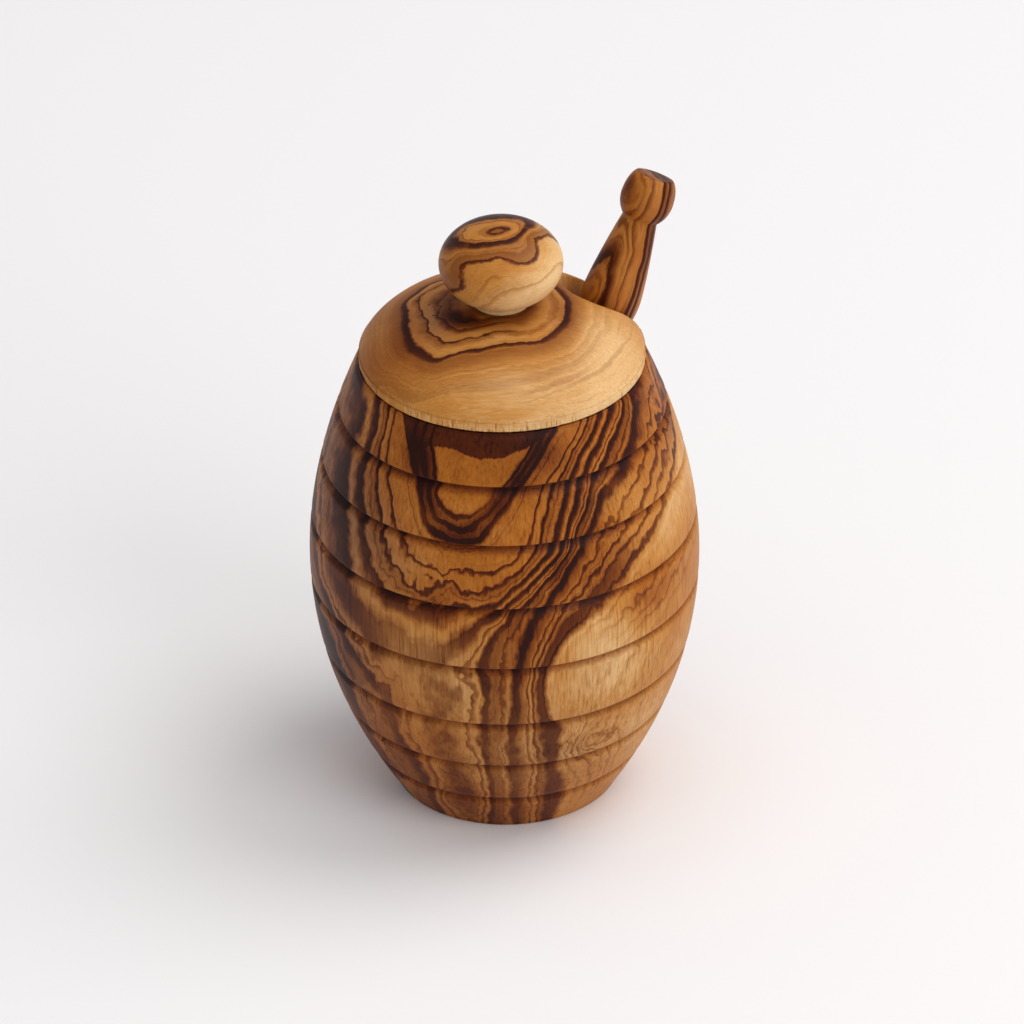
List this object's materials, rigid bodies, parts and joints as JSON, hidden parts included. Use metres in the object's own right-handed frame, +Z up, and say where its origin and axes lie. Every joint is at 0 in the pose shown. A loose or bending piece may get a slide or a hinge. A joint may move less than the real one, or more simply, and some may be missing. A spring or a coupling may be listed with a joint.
{
  "type": "honey pot",
  "caption": "Turned wooden honey pot: a ringed barrel body, a domed lift-off lid with a round knob, and a dipper that leans out through a notch in the lid's edge.",
  "frame": {"origin": "centre of the pot's flat base, where it rests", "axes": "+Z up along the axis the pot and lid are turned on; +X from that axis through the notch in the lid; +Y to the left of +X seen from above"},
  "size_m": [0.0856, 0.085, 0.1397],
  "materials": {
    "pot_wood": "sanded and oiled, low sheen, dark figure",
    "lid_wood": "sanded and oiled, low sheen",
    "knob_wood": "sanded and oiled, satin",
    "dipper_wood": "sanded and oiled, satin"
  },
  "bodies": {
    "pot": {"pot_body": "pot_wood"},
    "lid_with_knob": {"lid": "lid_wood", "lid_knob": "knob_wood"},
    "dipper_stick": {"dipper": "dipper_wood"}
  },
  "joints": [
    {"name": "lid_lift", "type": "slide", "parent": "pot", "child": "lid_with_knob", "axis": [0, 0, 1], "range_m": [0, 0.08]},
    {"name": "dipper_lift", "type": "slide", "parent": "pot", "child": "dipper_stick", "axis": [0.4456, 0.0786, 0.8918], "range_m": [0, 0.045]}
  ]
}
